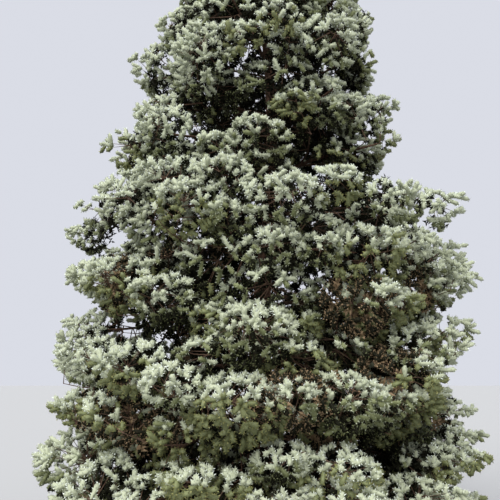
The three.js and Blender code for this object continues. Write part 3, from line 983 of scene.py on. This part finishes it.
def needle_material(name, colour, shine):
    """Needles whose colour and bloom change a little from one branch to the next."""
    material = plain_material(name, colour, NEEDLE_ROUGHNESS, shine)
    nodes, links = material.node_tree.nodes, material.node_tree.links
    shares = (1 - PATCH_CONTRAST, 1 + PATCH_CONTRAST)
    colours = [[min(1, part * share) for part in colour] for share in shares]
    patches = coloured_by_noise(material, PATCHES_PER_METRE, PATCH_DETAIL, PATCH_STOPS, colours)
    bloom = nodes.new("ShaderNodeMapRange")
    bloom.inputs["To Min"].default_value, bloom.inputs["To Max"].default_value = BLOOM_ROUGHNESS
    links.new(patches, bloom.inputs["Value"])
    links.new(bloom.outputs["Result"], nodes["Principled BSDF"].inputs["Roughness"])
    return material


def bark_material(name, colour, crack_colour, scale):
    """Bark whose plates differ a little in colour, darker in the cracks."""
    material = plain_material(name, colour, BARK_ROUGHNESS, BARK_SHINE)
    nodes, links = material.node_tree.nodes, material.node_tree.links
    plates = coloured_by_noise(material, scale, BARK_DETAIL, BARK_STOPS, (crack_colour, colour))
    bump = nodes.new("ShaderNodeBump")
    bump.inputs["Strength"].default_value = BARK_BUMP_STRENGTH
    bump.inputs["Distance"].default_value = BARK_BUMP_DEPTH
    links.new(plates, bump.inputs["Height"])
    links.new(bump.outputs["Normal"], nodes["Principled BSDF"].inputs["Normal"])
    return material


boughs = [bough_of(index) for index in range(BOUGH_COUNT)]
leading, finer, shoot_tables = [], [], []
for bough in boughs:
    axes = axes_of(bough)
    carriers = [one for axis in axes for one in leading_branches(bough, axis)]
    leading += carriers
    grown, grown_shoots = hand_growth(bough, axes, carriers)
    finer += grown
    shoot_tables += grown_shoots
leader = leader_branches()
all_stems = table_of(leading + leader + finer)
shoots = joined([leader_shoots(table_of(leader))] + shoot_tables)
shoots["number"] = np.arange(len(shoots["length"]))
shoots["root"][:, 2] = np.maximum(shoots["root"][:, 2], LOWEST_SHOOT)


def tone_numbers():
    """The tone of each shoot: painted highlight on the tops of the lobes and on rising shoots, painted shade
    below them and low in the crown, and older needles with painted shade inside.
    """
    middle = shoots["root"] + shoots["ahead"] * shoots["length"][:, None] * 0.5
    aside = middle - trunk_centre(middle[:, 2])
    r = np.hypot(aside[:, 0], aside[:, 1])
    direction = np.degrees(np.arctan2(aside[:, 1], aside[:, 0]))
    reach = outline(np.minimum(middle[:, 2], HIGHEST_OUTLINE)) * (1 + swell(middle[:, 2], direction))
    outer = np.clip(r / np.maximum(reach, LEAST_OUTLINE), 0, MOST_OUTER)
    # Painted light: paler farther out, high on a hand and rising; darker inside and underneath
    score = OUTER_AGE_AND_LIGHT_SCORE * outer + TOP_HIGHLIGHT_SCORE * shoots["height"] + RISING_HIGHLIGHT_SCORE * shoots["ahead"][:, 2]
    # Painted shade low in the crown, painted highlight high up
    score += np.clip(PAINTED_LIGHT_PER_HEIGHT * (middle[:, 2] - PAINTED_LIGHT_LEVEL), LEAST_PAINTED_LIGHT, MOST_PAINTED_LIGHT)
    score += vary(HAND_SCORE_VARIES, shoots["group"], 90) + vary(SHOOT_SCORE_VARIES, shoots["number"], 91)
    number = np.digitize(-score, -np.array(TONE_STEPS))
    olive_share = np.where(middle[:, 2] < LOW_OLIVE_BELOW, LOW_OLIVE_SHARE, OLIVE_SHARE)
    is_olive = (chance(shoots["group"], 92) < olive_share) & (shoots["height"] < OLIVE_TOP)
    number = np.where(is_olive & (number > 0), OLIVE, number)
    # Old shoots in the almost black tone: painted shade inside the crown
    number = np.where(shoots["is_old"], SHADED_INNER, number)
    is_inside = (middle[:, 2] < DEAD_BELOW) & (outer < DEAD_OUT)
    return np.where((chance(shoots["group"], 93) < DEAD_SHARE) & is_inside, DEAD, number)


shoots["tone"] = tone_numbers()
shoots = chosen(shoots, np.argsort(shoots["bough"], kind="stable"))
# Each shoot's core in a darker tone than its needles: painted shade between them
core_shade_tone = np.array([list(TONES).index(CORE_SHADE_TONES[tone]) for tone in TONES])[shoots["tone"]]


def mass_number(node):
    """The number of a mass's bough, with the leader after the last."""
    return BOUGH_COUNT if node == "needles_leader" else int(node.split("_")[1]) - 1


mass_nodes = sorted((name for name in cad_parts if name.startswith("needles_")), key=mass_number)


def parts_of(some, cost):
    """The shoots in turn, in as few parts as keep each piece under its limit. cost is a shoot's triangles."""
    if not len(some["length"]):
        return []
    parts = math.ceil(len(some["length"]) * cost / PIECE_LIMIT)
    return [chosen(some, chunk) for chunk in np.array_split(np.arange(len(some["length"])), parts)]


def needle_piece(name, some, points, triangles, material, is_smooth):
    piece = mesh_object(name, points, triangles, material, is_smooth)
    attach(piece, "root")
    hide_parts(*[mass_nodes[i] for i in sorted(set(some["bough"].tolist()))])


# One material for each tone, inner being painted shade and the pale to green steps painted light as well as
# bloom
for number, (tone, colour) in enumerate(TONES.items()):
    material = needle_material(f"needles_{tone}", colour, INNER_SHINE if tone == "inner" else NEEDLE_SHINE)
    own = chosen(shoots, (shoots["tone"] == number) & ~shoots["is_old"])
    for part, some in enumerate(parts_of(own, NEEDLES_ON_SHOOT)):
        mesh = needle_mesh(some, NEEDLES_ON_SHOOT, NEEDLE_LENGTH, NEEDLE_HALF_WIDTH, CORE_RADIUS)
        needle_piece(f"needles_{tone}_{part + 1}", some, *mesh, material, False)
    # Cores in the darker tone: painted shade between the needles
    own = chosen(shoots, (core_shade_tone == number) & ~shoots["is_old"])
    for part, some in enumerate(parts_of(own, core_triangles(CORE_RINGS))):
        mesh = core_mesh(some, CORE_RADIUS, CORE_RINGS)
        needle_piece(f"shoots_{tone}_{part + 1}", some, *mesh, material, True)
    # Old shoots, mostly in the almost black tone of painted shade
    own = chosen(shoots, (shoots["tone"] == number) & shoots["is_old"])
    for part, some in enumerate(parts_of(own, NEEDLES_ON_OLD + core_triangles(OLD_CORE_RINGS))):
        needles = needle_mesh(some, NEEDLES_ON_OLD, OLD_NEEDLE_LENGTH, OLD_NEEDLE_HALF_WIDTH, OLD_CORE_RADIUS)
        mesh = both(needles, core_mesh(some, OLD_CORE_RADIUS, OLD_CORE_RINGS))
        needle_piece(f"old_needles_{tone}_{part + 1}", some, *mesh, material, False)

# Each bark's plates, its cracks, and the scale of its noise
trunk_bark = bark_material("trunk_bark", (0.15, 0.085, 0.055), (0.05, 0.028, 0.02), 26)
limb_bark = bark_material("limb_bark", (0.12, 0.07, 0.045), (0.05, 0.03, 0.02), 45)
twig_bark = bark_material("twig_bark", (0.1, 0.06, 0.038), (0.06, 0.037, 0.025), 60)


def plates_relief(points, size, stretch):
    """How far each point stands out: 1 on a bark plate and 0 in the crack round it."""
    found = np.empty(len(points))
    for i, (x, y, z) in enumerate(points):
        distances = noise.voronoi(Vector((x / size, y / size, z / (size * stretch))))[0]
        found[i] = min(1, (distances[1] - distances[0]) * PLATE_EDGE)
    return found


def trunk_piece():
    """The trunk with its bark, closed at both ends."""
    sides, rings = TRUNK_SIDES, TRUNK_RINGS
    z = TRUNK_TOP * np.linspace(0, 1, rings) ** TRUNK_RING_POWER
    angle = 2 * np.pi * np.arange(sides) / sides
    radius = trunk_radius(z[:, None], angle[None])
    centre = trunk_centre(z)[:, None]
    out = np.stack((np.cos(angle), np.sin(angle), np.zeros(sides)), axis=-1)[None]
    points = (centre + out * radius[..., None]).reshape(-1, 3)
    relief = plates_relief(points, TRUNK_PLATE, TRUNK_PLATE_STRETCH).reshape(rings, sides)
    depth = TRUNK_CRACK * np.minimum(1, radius / FULL_CRACK_RADIUS)
    points = centre + out * (radius - depth * (1 - relief))[..., None]
    points = np.concatenate((points.reshape(-1, 3), trunk_centre(z[[0, -1]])))
    walls = wall_faces(rings, sides)
    walls = np.concatenate((walls[:, [0, 1, 2]], walls[:, [0, 2, 3]]))
    low, high, last = rings * sides, rings * sides + 1, (rings - 1) * sides
    k = np.arange(sides)
    n = (k + 1) % sides
    foot = np.stack((n, k, np.full(sides, low)), axis=-1)
    top = np.stack((last + k, last + n, np.full(sides, high)), axis=-1)
    made = mesh_object("trunk_bark", points, np.concatenate((walls, foot, top)), trunk_bark, True)
    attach(made, "root")
    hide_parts("trunk")


trunk_piece()


def bough_piece():
    """Every bough and axis as one limb from the trunk or the fork to its end."""
    lines, radii = [], []
    t = np.linspace(0, 1, LIMB_RINGS)
    for bough in boughs:
        for axis in axes_of(bough):
            if axis["side"] == 0:
                out = mix(*BOUGH_ENDS, t)
                collar = 1 + BOUGH_COLLAR * np.exp(-out / (COLLAR_LENGTH * BOUGH_SHARE))
                lines.append(bough_line(bough, out * bough["reach"]))
                radii.append(bough_radius(bough, out) * collar)
            else:
                lines.append(axis["path"](SIDE_AXIS_END * t))
                radii.append(bough_radius(bough, mix(SIDE_THINNED, 1, t)))
    lines, radii = np.array(lines), np.array(radii)
    radii[:, -1] *= LIMB_END_SHARE
    points, faces = tube_mesh(lines, radii, LIMB_SIDES)
    relief = plates_relief(points, LIMB_PLATE, LIMB_PLATE_STRETCH)
    centres = np.repeat(lines.reshape(-1, 3), LIMB_SIDES, axis=0)
    points = centres + (points - centres) * (1 - LIMB_CRACK * (1 - relief))[:, None]
    made = mesh_object("boughs_bark", points, faces, limb_bark, True)
    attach(made, "root")
    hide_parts(*sorted(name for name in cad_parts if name.startswith("bough_")))


bough_piece()


def twig_piece():
    """The wood of the branches, spines and branchlets."""
    is_long = all_stems["length"] > LONG_TWIG
    found = []
    for keep, rings in ((is_long, LONG_TWIG_RINGS), (~is_long, SHORT_TWIG_RINGS)):
        some = chosen(all_stems, keep)
        s = np.linspace(0, 1, rings)
        lines = np.stack([stem_point(some, some["wood"] * one) for one in s], axis=1)
        widest = TWIG_RADIUS + TWIG_RADIUS_PER_LENGTH * some["length"]
        radii = widest[:, None] * mix(1, TWIG_TIP_SHARE, s)[None]
        found.append(tube_mesh(lines, radii, TWIG_SIDES))
    made = mesh_object("twigs_bark", *both(*found), twig_bark, False)
    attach(made, "root")


twig_piece()

# The stage: a plain pale floor, a soft sky all round and one broad soft light from above
floor_mesh = bpy.data.meshes.new("floor")
floor_corners = [(x * FLOOR_HALF, y * FLOOR_HALF, 0) for x, y in ((-1, -1), (1, -1), (1, 1), (-1, 1))]
floor_mesh.from_pydata(floor_corners, [], [(0, 1, 2, 3)])
floor_mesh.materials.append(plain_material("floor", FLOOR_COLOUR, FLOOR_ROUGHNESS, FLOOR_SHINE))
floor = bpy.data.objects.new("floor", floor_mesh)
bpy.context.scene.collection.objects.link(floor)

world = bpy.data.worlds.new("sky")
world.use_nodes = True
nodes, links = world.node_tree.nodes, world.node_tree.links
direction = nodes.new("ShaderNodeTexCoord")
parts = nodes.new("ShaderNodeSeparateXYZ")
brightness = nodes.new("ShaderNodeMapRange")
brightness.inputs["From Min"].default_value = BRIGHTER_FROM
brightness.inputs["From Max"].default_value = 1.0
brightness.inputs["To Min"].default_value = 1.0
brightness.inputs["To Max"].default_value = ZENITH_SHARE
links.new(direction.outputs["Generated"], parts.inputs["Vector"])
links.new(parts.outputs["Z"], brightness.inputs["Value"])
links.new(brightness.outputs["Result"], nodes["Background"].inputs["Strength"])
nodes["Background"].inputs["Color"].default_value = (*HORIZON, 1)
bpy.context.scene.world = world

sun = bpy.data.lights.new("sky_light", "SUN")
sun.energy = SUN_STRENGTH
sun.angle = math.radians(SUN_WIDTH)
sun_object = bpy.data.objects.new("sky_light", sun)
sun_object.rotation_euler = (math.radians(SUN_TILT), 0, math.radians(SUN_TURN))
bpy.context.scene.collection.objects.link(sun_object)

# The camera at the photograph's place: standing height, six metres before the trunk, looking up a little
camera_data = bpy.data.cameras.new("camera")
camera_data.sensor_width = SENSOR_WIDTH
camera_data.lens = SENSOR_WIDTH * FOCAL_PIXELS / IMAGE_SIDE
camera = bpy.data.objects.new("camera", camera_data)
camera.location = CAMERA_PLACE
camera.rotation_euler = (math.radians(90 + CAMERA_RISE), 0, 0)
bpy.context.scene.collection.objects.link(camera)
bpy.context.scene.camera = camera
bpy.context.scene.view_settings.view_transform = "Standard"
